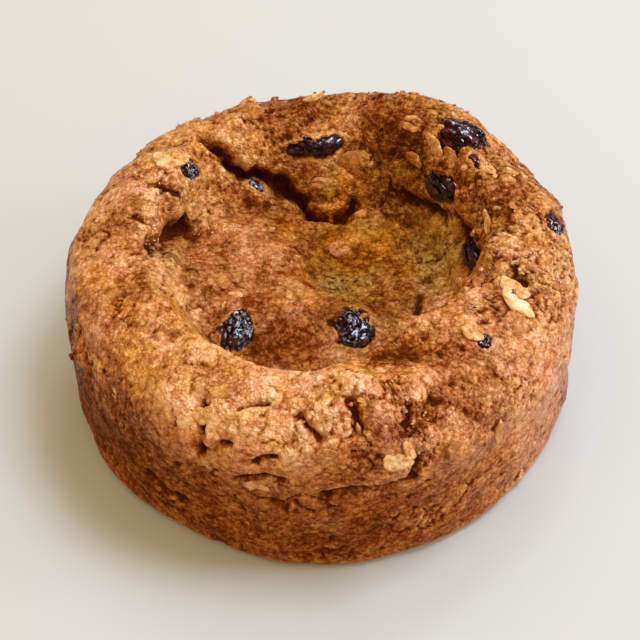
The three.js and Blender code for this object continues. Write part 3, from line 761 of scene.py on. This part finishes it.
# Runs of colours as red, green and blue, from pale to dark, and the places from 0 to 1 where they lie.
DOUGH_PLACES = (0.0, 0.2, 0.4, 0.6, 0.8, 1.0)
DOUGH_COLOURS = {
    "golden": [(0.92, 0.64, 0.300), (0.84, 0.45, 0.120), (0.65, 0.26, 0.028),
               (0.40, 0.125, 0.005), (0.20, 0.043, 0.001), (0.08, 0.014, 0.000)],
    "reddish": [(0.94, 0.64, 0.460), (0.86, 0.44, 0.250), (0.67, 0.25, 0.085),
                (0.41, 0.115, 0.014), (0.20, 0.036, 0.001), (0.08, 0.012, 0.000)],
    "olive": [(0.76, 0.54, 0.200), (0.62, 0.39, 0.100), (0.47, 0.25, 0.045),
              (0.31, 0.145, 0.014), (0.16, 0.055, 0.003), (0.05, 0.013, 0.001)],
    "oat": [(0.92, 0.66, 0.360), (0.84, 0.50, 0.210), (0.70, 0.34, 0.100),
            (0.48, 0.190, 0.030), (0.26, 0.070, 0.005), (0.10, 0.020, 0.001)],
}
OAT_PLACES = (0.0, 0.35, 0.7, 1.0)
ORANGE_OAT = [(0.84, 0.62, 0.42), (0.74, 0.42, 0.19), (0.54, 0.22, 0.045), (0.34, 0.10, 0.010)]
GREENISH_OAT = [(0.72, 0.59, 0.38), (0.56, 0.39, 0.20), (0.38, 0.20, 0.060), (0.24, 0.09, 0.012)]
RAISIN_PLACES = (0.0, 0.5, 1.0)
BLACK_RAISIN = [(0.002, 0.001, 0.001), (0.012, 0.004, 0.005), (0.060, 0.020, 0.022)]
PURPLE_RAISIN = [(0.006, 0.001, 0.001), (0.070, 0.008, 0.008), (0.280, 0.045, 0.032)]
# Pale blue-grey for spots on the raisins' upper sides: partly sugar bloom, partly painted glints.
BLOOM_AND_PAINTED_GLINT = (0.34, 0.34, 0.40, 1)


def new_material(name, specular, subsurface, radius):
    """A node material, its tree and its shader. Subsurface radius is in millimetres of red, green, blue."""
    material = bpy.data.materials.new(name)
    material.use_nodes = True
    shader = material.node_tree.nodes["Principled BSDF"]
    shader.inputs["Specular IOR Level"].default_value = specular
    shader.inputs["Subsurface Weight"].default_value = subsurface
    shader.inputs["Subsurface Radius"].default_value = [part * MM for part in radius]
    shader.inputs["Subsurface Scale"].default_value = 1.0
    return material, material.node_tree, shader


def put(tree, socket, value):
    """Links a socket to another's output, or sets its value."""
    if isinstance(value, bpy.types.NodeSocket):
        tree.links.new(value, socket)
    else:
        socket.default_value = value


def add_node(tree, kind, settings=(), **inputs):
    """A node of a kind, with its settings and inputs."""
    node = tree.nodes.new(kind)
    for key, value in dict(settings).items():
        setattr(node, key, value)
    for key, value in inputs.items():
        put(tree, node.inputs[key], value)
    return node


def attribute(tree, name):
    return add_node(tree, "ShaderNodeAttribute", {"attribute_name": name}).outputs["Fac"]


def combine(tree, operation, *values, clamp=False):
    """A Math node."""
    node = add_node(tree, "ShaderNodeMath", {"operation": operation, "use_clamp": clamp})
    for socket, value in zip(node.inputs, values):
        put(tree, socket, value)
    return node.outputs[0]


def added(tree, first, *others):
    """The sum of values."""
    for value in others:
        first = combine(tree, "ADD", first, value)
    return first


def total(tree, *values):
    """The sum of values, kept between 0 and 1."""
    return combine(tree, "ADD", added(tree, *values), 0.0, clamp=True)


def centred(tree, share, middle, spread):
    """A share moved so that `middle` becomes 0, and stretched by `spread`."""
    return combine(tree, "MULTIPLY_ADD", share, spread, -middle * spread)


def mixed(tree, share, first, second):
    node = add_node(tree, "ShaderNodeMix", {"data_type": "RGBA"})
    put(tree, node.inputs["Factor"], share)
    put(tree, node.inputs[6], first)
    put(tree, node.inputs[7], second)
    return node.outputs[2]


def ramp(tree, share, places, colours):
    """A smooth run of colours, each at its place from 0 to 1."""
    node = add_node(tree, "ShaderNodeValToRGB", Fac=share)
    elements = node.color_ramp.elements
    while len(elements) < len(places):
        elements.new(0.5)
    for element, place, colour in zip(elements, places, colours):
        element.position = place
        element.color = (*colour, 1)
    return node.outputs["Color"]


def speckle(tree, millimetres):
    """Noise from 0 to 1 with hills about so many millimetres apart, fixed to the object."""
    place = add_node(tree, "ShaderNodeTexCoord").outputs["Object"]
    scale = 1 / (millimetres * MM)
    return add_node(tree, "ShaderNodeTexNoise", Vector=place, Scale=scale, Detail=2.0).outputs["Fac"]


def grains(tree, millimetres):
    """Uneven grains about so many millimetres apart: the distance from the nearest one's middle, from 0 to
    about 1, and a number from 0 to 1 that belongs to it."""
    place = add_node(tree, "ShaderNodeTexCoord").outputs["Object"]
    scale = 1 / (millimetres * MM)
    bend = add_node(tree, "ShaderNodeTexNoise", Vector=place, Scale=1.3 * scale).outputs["Color"]
    node = add_node(tree, "ShaderNodeVectorMath", {"operation": "MULTIPLY_ADD"})
    reach = 0.9 * millimetres * MM
    for socket, value in zip(node.inputs, (bend, [reach] * 3, place)):
        put(tree, socket, value)
    cells = add_node(tree, "ShaderNodeTexVoronoi", Vector=node.outputs[0], Scale=scale)
    number = add_node(tree, "ShaderNodeSeparateColor", Color=cells.outputs["Color"]).outputs[0]
    return cells.outputs["Distance"], number


def add_bump(tree, shader, height, strength, millimetres):
    bump = add_node(tree, "ShaderNodeBump", Strength=strength, Distance=millimetres * MM, Height=height)
    put(tree, shader.inputs["Normal"], bump.outputs["Normal"])


def dough_colour(tree, toast_and_painted_shading):
    """The dough's colour where it is golden, reddish, olive or flake, for how toasted it is and how much
    painted shade it carries.
    """
    looks = {key: ramp(tree, toast_and_painted_shading, DOUGH_PLACES, colours) for key, colours in DOUGH_COLOURS.items()}
    redness = total(tree, attribute(tree, "red"), centred(tree, speckle(tree, 2.6), 0.5, 1.6))
    colour = mixed(tree, redness, looks["golden"], looks["reddish"])
    colour = mixed(tree, attribute(tree, "olive"), colour, looks["olive"])
    return mixed(tree, attribute(tree, "flake"), colour, looks["oat"])


def set_dough_gloss(tree, shader, toast_and_painted_shading):
    """The dough's shine and roughness. The browner it is, painted shade included, the less it shines."""
    gloss = attribute(tree, "gloss")
    bright = combine(tree, "MULTIPLY_ADD", toast_and_painted_shading, -1.15, 1.0, clamp=True)
    shine = combine(tree, "MULTIPLY", gloss, bright)
    put(tree, shader.inputs["Specular IOR Level"], combine(tree, "MULTIPLY_ADD", shine, 2.6, 0.02))
    dullness = combine(tree, "MULTIPLY_ADD", gloss, -0.28, 0.36)
    put(tree, shader.inputs["Roughness"], combine(tree, "MULTIPLY_ADD", speckle(tree, 1.5), 0.35, dullness))


def dough_material():
    material, tree, shader = new_material("baked_dough", 0.35, 0.05, (2.0, 0.7, 0.2))
    edge, number = grains(tree, 1.2)
    fine_edge, fine_number = grains(tree, 0.55)
    grain = attribute(tree, "grain")
    variation = added(
        tree, centred(tree, speckle(tree, 2.2), 0.5, 0.38), centred(tree, speckle(tree, 0.5), 0.5, 0.65),
        centred(tree, edge, 0.45, 0.32), centred(tree, number, 0.5, 0.17),
        centred(tree, fine_number, 0.5, 0.16),
    )
    variation = combine(tree, "MULTIPLY", variation, grain)
    # Browning, with the relief's painted shade and light added to it.
    toast_and_painted_shading = total(tree, attribute(tree, "toast_and_painted_shading"), attribute(tree, "painted_cavity_shading"), variation)
    put(tree, shader.inputs["Base Color"], dough_colour(tree, toast_and_painted_shading))
    set_dough_gloss(tree, shader, toast_and_painted_shading)
    height = combine(tree, "MULTIPLY_ADD", edge, -1.0, speckle(tree, 0.4))
    height = combine(tree, "MULTIPLY_ADD", fine_edge, -0.4, height)
    add_bump(tree, shader, height, grain, 0.42)
    return material


def oat_material():
    material, tree, shader = new_material("oat_flake", 0.35, 0.10, (2.2, 1.2, 0.5))
    tone = total(
        tree, attribute(tree, "tone"),
        centred(tree, speckle(tree, 0.45), 0.5, 1.0), centred(tree, speckle(tree, 1.6), 0.5, 1.3),
    )
    orange = ramp(tree, tone, OAT_PLACES, ORANGE_OAT)
    greenish = ramp(tree, tone, OAT_PLACES, GREENISH_OAT)
    share = total(tree, centred(tree, speckle(tree, 7.0), 0.56, 4.0))
    put(tree, shader.inputs["Base Color"], mixed(tree, share, orange, greenish))
    put(tree, shader.inputs["Roughness"], combine(tree, "MULTIPLY_ADD", speckle(tree, 0.8), 0.4, 0.28))
    add_bump(tree, shader, speckle(tree, 0.35), 0.7, 0.2)
    return material


def raisin_material():
    material, tree, shader = new_material("raisin_skin", 0.80, 0.03, (1.2, 0.4, 0.3))
    # Darker along the creases: painted shade, with a speckle of random tone.
    tone_and_painted_crease_shade = total(tree, attribute(tree, "tone_and_painted_crease_shade"), centred(tree, speckle(tree, 0.6), 0.5, 1.0))
    black = ramp(tree, tone_and_painted_crease_shade, RAISIN_PLACES, BLACK_RAISIN)
    purple = ramp(tree, tone_and_painted_crease_shade, RAISIN_PLACES, PURPLE_RAISIN)
    colour = mixed(tree, attribute(tree, "red"), black, purple)
    # Pale spots on the raisin's upper side: partly sugar bloom, partly painted glints.
    spots = total(tree, centred(tree, speckle(tree, 0.7), 0.52, 7.0))
    bloom_and_painted_glint = combine(tree, "MULTIPLY", attribute(tree, "bloom_and_painted_glint"), spots, clamp=True)
    put(tree, shader.inputs["Base Color"], mixed(tree, bloom_and_painted_glint, colour, BLOOM_AND_PAINTED_GLINT))
    put(tree, shader.inputs["Roughness"], combine(tree, "MULTIPLY_ADD", speckle(tree, 0.8), 0.3, 0.02))
    add_bump(tree, shader, speckle(tree, 1.1), 0.6, 0.25)
    return material


# ---------- pieces

dough_look = dough_material()
oat_look = oat_material()
raisin_look = raisin_material()


def finish_piece(piece, material, nodes=()):
    piece.data.materials.append(material)
    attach(piece, "root")
    if nodes:
        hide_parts(*nodes)


def make_dough(skin, tints):
    attributes = {"flake": skin["flake"], "painted_cavity_shading": skin["painted_cavity_shading"], **tints}
    piece = mesh_piece("dough_crust", to_frame(skin["points"]), skin["faces"], attributes)
    finish_piece(piece, dough_look, ["dough"])


# Flakes that stand out of the skin: place, length, width, turn, tilt, how proud, and their tone, which is
# 0 for a pale flake, 1 for a browned one.
FLAKES = [
    ((143, 40.5), 6.5, 4.6, 122, 8, 0.35, 0.35),
    ((145, 30.5), 4.6, 3.6, 6, 20, 0.5, 0.70),
    ((48, 37.5), 6.2, 3.2, 152, 15, 0.6, 0.60),
    ((54, 35), 4.0, 2.6, 158, 10, 0.5, 0.75),
    ((339, 46), 7.2, 3.4, 72, 5, 0.7, 0.10),
    ((343, 44.5), 6.0, 2.8, 82, 0, 0.6, 0.30),
    ((12, 37.5), 5.6, 2.2, 174, 20, 0.6, 0.45),
    ((75, 14.5), 4.6, 4.0, 44, 6, 0.1, 0.75),
    ((285, 56), 5.2, 3.2, 176, 25, 0.7, 0.30),
    ((288, 55), 4.2, 3.0, 126, 20, 0.6, 0.60),
    ((256, 64), 4.8, 4.2, 16, 5, 0.3, 0.50),
    ((111, 40), 4.2, 3.0, 170, 30, 0.8, 0.65),
    ((92, 40.5), 4.4, 2.6, 34, 35, 0.9, 0.65),
    ((312, 60.5), 7.0, 2.6, 92, 12, 0.5, 0.55),
    ((300, 59), 5.0, 3.6, 138, 12, 0.4, 0.70),
    ((333, 48.5), 4.6, 3.2, 4, 12, 0.5, 0.70),
    ((186, 20), 4.0, 3.2, 10, 8, 0.3, 0.75),
    ((78, 31.5), 5.4, 4.6, 168, 6, 0.3, 0.85),
    ((30, 42), 4.6, 3.0, 0, 15, 0.5, 0.50),
    ((88, 28.5), 5.6, 3.0, 162, 12, 0.4, 0.65),
    ((325, 82), 3.4, 2.4, 118, 20, 0.6, 0.50),
    ((140, 50), 4.4, 3.2, 86, 15, 0.4, 0.60),
    ((210, 48.5), 4.2, 3.2, 114, 8, 0.25, 0.70),
    ((244, 46.5), 4.6, 3.4, 8, 8, 0.25, 0.70),
    ((321, 44.5), 4.2, 2.8, 104, 14, 0.5, 0.40),
    ((272, 55.5), 4.4, 3.4, 36, 8, 0.3, 0.65),
]
FLAKE_THICKNESS = 0.8
FLAKE_RINGS, FLAKE_SIDES = 9, 26
FLAKE_SEED = 8
# More flakes, drawn at random: count, and from where to where.
MORE_FLAKES = [
    (38, (-50, 29), (62, 54)),
    (14, (62, 30), (185, 52)),
    (8, (185, 38), (310, 60)),
    (8, (0, 56), (360, 80)),
    (5, (0, 6), (360, 24)),
]


def flat_oval():
    """A closed flat disc of radius 1 and height 1 as points and faces, from its top to its bottom."""
    rings = [(1 if k in (0, FLAKE_RINGS) else FLAKE_SIDES, math.pi * k / FLAKE_RINGS)
             for k in range(FLAKE_RINGS + 1)]
    angle, turn, faces = net_of_rings(rings)
    radius = np.clip(np.sin(turn), 0, 1) ** 0.5
    height = np.sign(np.cos(turn)) * np.abs(np.cos(turn)) ** 0.8 / 2
    return np.stack([radius * np.cos(angle), radius * np.sin(angle), height], -1), faces


def flake_points(disc, length, width, rng):
    """A disc made into an oat flake: an uneven outline, a groove along it, and a gentle curl. Gives its
    points, and how much browner each is for its streaks and its edge."""
    shift = rng.uniform(0, 50, 3)
    flat = disc * (1, 1, 0) + shift
    x, y, z = disc.T
    outline = 1 + 0.22 * noise(flat, 0.9, 72) + 0.12 * noise(flat, 0.4, 75)
    browner = 0.40 * np.abs(noise(flat * (1, 4, 1), 0.8, 77)) + 0.15 * (x * x + y * y) ** 2
    x, y = x * outline, y * outline
    groove = (0.30 * np.exp(-((y / 0.14) ** 2)) + 0.25 * np.abs(noise(flat * (1, 3, 1), 0.7, 76))) * (z > 0)
    curl = 0.4 * x * x - 0.3 * y * y + 0.45 * noise(flat, 0.8, 73)
    height = FLAKE_THICKNESS * (z * (1 - 0.3 * (x * x + y * y)) - groove + rng.uniform(0.4, 1.3) * curl)
    return np.stack([x * length / 2, y * width / 2, height], -1), browner


def all_flakes(rng):
    """The listed flakes, and more at random."""
    yield from FLAKES
    for count, (turn_from, along_from), (turn_to, along_to) in MORE_FLAKES:
        for _ in range(count):
            place = (rng.uniform(turn_from, turn_to), rng.uniform(along_from, along_to))
            length = rng.uniform(2.6, 4.8)
            width = length * rng.uniform(0.6, 0.9)
            yield (place, length, width, rng.uniform(0, 180), rng.uniform(-12, 12),
                   rng.uniform(-0.25, 0.15), rng.uniform(0.45, 0.85))


def make_flakes(skin):
    """All the flakes that stand out of the skin, as one mesh."""
    rng = np.random.default_rng(FLAKE_SEED)
    disc, disc_faces = flat_oval()
    points, faces, tones = [], [], []
    for place, length, width, turn, tilt, proud, tone in all_flakes(rng):
        seat, axes = seat_at(place)
        nearest = np.argmin(np.linalg.norm(skin["points"] - seat, axis=-1))
        ground = (skin["points"][nearest] - seat) @ axes[2]
        axes = turned(axes, turn, tilt)
        local, browner = flake_points(disc, length, width, rng)
        lift = ground + proud - FLAKE_THICKNESS / 2
        faces.append(disc_faces + len(disc) * len(points))
        points.append(seat + (local + (0, 0, lift)) @ axes)
        tones.append(tone + browner)
    points, tones = np.concatenate(points), np.concatenate(tones)
    piece = mesh_piece("oat_flakes", to_frame(points), np.concatenate(faces), {"tone": tones})
    finish_piece(piece, oat_look)


def ball(subdivisions):
    """A ball of radius 1 as points and faces."""
    mesh = bmesh.new()
    bmesh.ops.create_icosphere(mesh, subdivisions=subdivisions, radius=1)
    points = np.array([vertex.co for vertex in mesh.verts])
    faces = np.array([[vertex.index for vertex in face.verts] for face in mesh.faces])
    mesh.free()
    return points, faces


CRUMBS = 700
CRUMB_SEED = 9
CRUMB_DETAIL = 2
FEW_CRUMBS = 0.004  # how likely a crumb is where the crust is calm
CRUMB_SIZES = (0.3, 0.7)  # the smallest one's radius, and how much more the largest has
CRUMB_SHAPES = ((0.8, 0.6, 0.4), (1.3, 1.0, 0.8))  # half sizes as shares of the radius
CRUMB_LIFTS = (-0.25, 0.3)  # how far out of the skin, as a share of the radius
CRUMB_TOASTS = (-0.22, 0.1)  # how much browner than the skin


def random_turn(rng):
    """A rotation drawn at random."""
    turn, _ = np.linalg.qr(rng.normal(size=(3, 3)))
    return turn * np.sign(np.linalg.det(turn))


def make_crumbs(skin, tints):
    """Crumbs that stick to the skin, sunk to about their middle, as one mesh."""
    rng = np.random.default_rng(CRUMB_SEED)
    unit, unit_faces = ball(CRUMB_DETAIL)
    along = skin["along"]
    likely = FEW_CRUMBS + np.clip(skin["crumbly"] - CALM, 0, 1) ** 2 * (1 - 0.7 * skin["wall"])
    likely = likely * (along < SKIN - 2) * (skin["bare"] < 0.1)
    chosen = rng.choice(len(along), CRUMBS, replace=False, p=likely / likely.sum())
    points, values = [], {key: [] for key in tints}
    smallest, more = CRUMB_SIZES
    for index in chosen:
        radius = smallest + more * rng.random() ** 3
        shape = unit * (1 + 0.5 * noise(unit + rng.uniform(0, 40, 3), 0.9, 74))[:, None]
        shape = shape * rng.uniform(*CRUMB_SHAPES) @ random_turn(rng)
        lift = radius * rng.uniform(*CRUMB_LIFTS)
        points.append(skin["points"][index] + skin["normals"][index] * lift + shape * radius)
        for key, tint in tints.items():
            values[key].append(np.full(len(unit), tint[index]))
        values["toast_and_painted_shading"][-1] += rng.uniform(*CRUMB_TOASTS)
    faces = np.concatenate([unit_faces + len(unit) * k for k in range(CRUMBS)])
    points = np.concatenate(points)
    points[:, 2] = np.maximum(points[:, 2], 0)
    attributes = {key: np.concatenate(parts) for key, parts in values.items()}
    piece = mesh_piece("crumbs", to_frame(points), faces, attributes)
    finish_piece(piece, dough_look)


RAISIN_DETAIL = 5
RAISIN_GROWTH = 0.2
RAISIN_CREASES = [(2.4, 0.42, 0.15, 93), (1.2, 0.18, 0.16, 94)]  # size, depth, half width as noise, seed
RAISIN_LUMPS = [(2.6, 0.28, 91), (1.0, 0.12, 92)]  # size, height, seed
# How much of the pale spots each raisin gets: partly sugar bloom, partly painted glints.
BLOOM_AND_PAINTED_GLINT_SHARES = {"raisin_floor_left": 0.8, "raisin_floor_front": 0.5, "raisin_chunk_left": 0.9,
           "raisin_crack_side": 0.8}
REDDISH = {"raisin_rim_back": 1.0, "raisin_rim_slope": 0.7, "raisin_edge_right": 0.8,
           "raisin_rim_right": 0.9, "raisin_rim_under": 0.9}


def make_raisin(node, number, seat):
    """A wrinkled raisin over its solid, with creases that run along it."""
    centre, axes, halves = seat
    unit, faces = ball(RAISIN_DETAIL)
    local = unit * halves / MM + 17.0 * number
    stretched = local * (0.5, 1, 1)
    height = RAISIN_GROWTH + sum(rise * noise(local, size, seed) for size, rise, seed in RAISIN_LUMPS)
    crease = np.zeros(len(local))
    for size, depth, half, seed in RAISIN_CREASES:
        line = np.exp(-((noise(stretched, size, seed) / half) ** 2))
        crease += line
        height -= depth * line
    grown = unit * halves + unit * height[:, None] * MM
    attributes = {
        # Painted shade: lower values, and so darker colour, along the creases.
        "tone_and_painted_crease_shade": np.clip(0.6 - 0.5 * crease, 0, 1),
        # Only on the upper side: partly sugar bloom, partly painted glints.
        "bloom_and_painted_glint": BLOOM_AND_PAINTED_GLINT_SHARES.get(node, 0.1) * np.clip(1.2 * unit[:, 2], 0, 1),
        "red": REDDISH.get(node, 0.2) * np.clip(0.7 + noise(local, 3, 95), 0, 1),
    }
    piece = mesh_piece(node + "_skin", centre + grown @ axes, faces, attributes)
    finish_piece(piece, raisin_look, [node])


skin = dough_skin()
tints = dough_tints(skin)
make_dough(skin, tints)
make_flakes(skin)
make_crumbs(skin, tints)
for number, node in enumerate(RAISIN_NODES):
    make_raisin(node, number, skin["seats"][node])

# ---------- floor, light and camera

CAMERA_ELEVATION = math.radians(46)
CAMERA_DISTANCE = 400 * MM
SENSOR = 36.0
PICTURE = 640  # the photo's width and height in pixels
PIXELS_PER_MM = 5.45  # in the photo, at the camera's distance
AIM_HEIGHT = 15.0  # a point on the cookie's axis, and the pixel of the photo that shows it
AIM_PIXEL = (321, 327)

FLOOR_HALF = 1.6  # half the floor's width in metres
FLOOR_COLOUR = (0.49, 0.51, 0.54, 1)
LAMP_COLOUR = (0.68, 0.81, 1.0)
# Lamps: name, place and size in metres, watts.
LAMPS = [
    ("key", (0.32, 0.05, 0.86), 0.32, 5.9),
    ("window", (0.10, 0.45, 0.85), 0.28, 1.7),
    ("side", (0.85, -0.05, 0.28), 0.28, 3.5),
]
WORLD_COLOUR = (1.0, 0.77, 0.39, 1)
WORLD_STRENGTH = 1.05


def make_floor():
    half = FLOOR_HALF
    points = np.array([(-half, -half, 0), (half, -half, 0), (half, half, 0), (-half, half, 0)])
    points[:, 2] = dough_low[2]
    floor = mesh_piece("floor", points, np.array([[0, 1, 2, 3]]), {})
    material, _, shader = new_material("pale_floor", 0.3, 0.0, (1, 1, 1))
    shader.inputs["Base Color"].default_value = FLOOR_COLOUR
    shader.inputs["Roughness"].default_value = 0.7
    floor.data.materials.append(material)


def area_light(name, place, size, watts):
    """A square lamp that faces the cookie."""
    lamp = bpy.data.lights.new(name, "AREA")
    lamp.size = size
    lamp.energy = watts
    lamp.color = LAMP_COLOUR
    holder = bpy.data.objects.new(name, lamp)
    holder.location = place
    holder.rotation_euler = (-Vector(place)).to_track_quat("-Z", "Y").to_euler()
    bpy.context.scene.collection.objects.link(holder)


def make_light():
    """The lamps, and an even light all round that glossy surfaces don't mirror."""
    for lamp in LAMPS:
        area_light(*lamp)
    world = bpy.data.worlds.new("studio")
    world.use_nodes = True
    background = world.node_tree.nodes["Background"]
    background.inputs["Color"].default_value = WORLD_COLOUR
    background.inputs["Strength"].default_value = WORLD_STRENGTH
    world.cycles_visibility.glossy = False
    bpy.context.scene.world = world


def make_camera():
    """The camera at the photo's viewing angle, with the aimed point at its pixel."""
    right = np.array([1.0, 0, 0])
    up = np.array([0, math.sin(CAMERA_ELEVATION), math.cos(CAMERA_ELEVATION)])
    back = np.cross(right, up)
    aim = to_frame(np.array([[0, 0, AIM_HEIGHT]]))[0]
    aim = aim + (PICTURE / 2 - AIM_PIXEL[0]) / PIXELS_PER_MM * MM * right
    aim = aim + (AIM_PIXEL[1] - PICTURE / 2) / PIXELS_PER_MM * MM * up
    data = bpy.data.cameras.new("camera")
    data.sensor_width = SENSOR
    data.lens = SENSOR * PIXELS_PER_MM * CAMERA_DISTANCE / MM / PICTURE
    data.clip_start = 0.01
    camera = bpy.data.objects.new("camera", data)
    rotation = Matrix((right, up, back)).transposed().to_4x4()
    camera.matrix_world = Matrix.Translation(aim + back * CAMERA_DISTANCE) @ rotation
    bpy.context.scene.collection.objects.link(camera)
    bpy.context.scene.camera = camera


make_floor()
make_light()
make_camera()
bpy.context.scene.view_settings.view_transform = "Standard"
